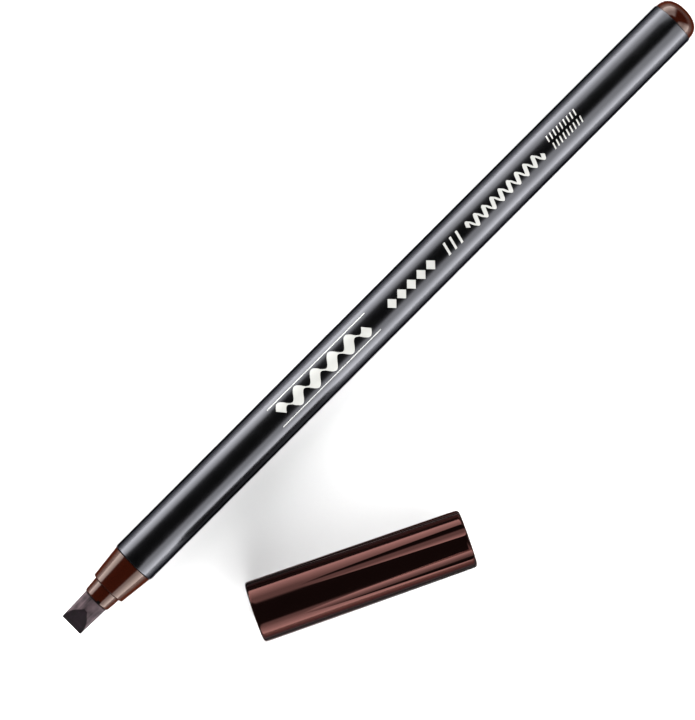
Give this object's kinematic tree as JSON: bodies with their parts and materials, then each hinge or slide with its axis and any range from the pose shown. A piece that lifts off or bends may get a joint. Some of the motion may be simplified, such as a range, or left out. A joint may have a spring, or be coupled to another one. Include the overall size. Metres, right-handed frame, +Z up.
{
  "type": "calligraphy marker",
  "caption": "Marker pen for broad calligraphy strokes: fibre chisel nib in a stepped front section, slim tube barrel, domed rear plug, and a tapered fluted pull-off cap lying beside it",
  "frame": {"origin": "on the pen's long axis, at the middle of the barrel's length", "axes": "+X runs along the pen toward the nib, +Z is up out of the table that the pen and the cap lie on, and +Y points to the side where the cap lies"},
  "size_m": [0.1704, 0.0528, 0.0124],
  "materials": {
    "barrel": "satin",
    "trim": "gloss",
    "nib": "matte fibre",
    "reservoir": "matte fibre",
    "film": "gloss",
    "cap": "gloss",
    "liner": "matte"
  },
  "bodies": {
    "pen": {"barrel": "barrel", "end_plug": "trim", "front_section": "trim", "nib": "nib", "reservoir_core": "reservoir", "reservoir_film": "film"},
    "cap": {"cap_shell": "cap", "cap_liner": "liner"}
  },
  "joints": [
    {"name": "cap_pull", "type": "slide", "parent": "pen", "child": "cap", "axis": [-0.8999, 0.4362, 0], "range_m": [0, 0.0415]}
  ]
}
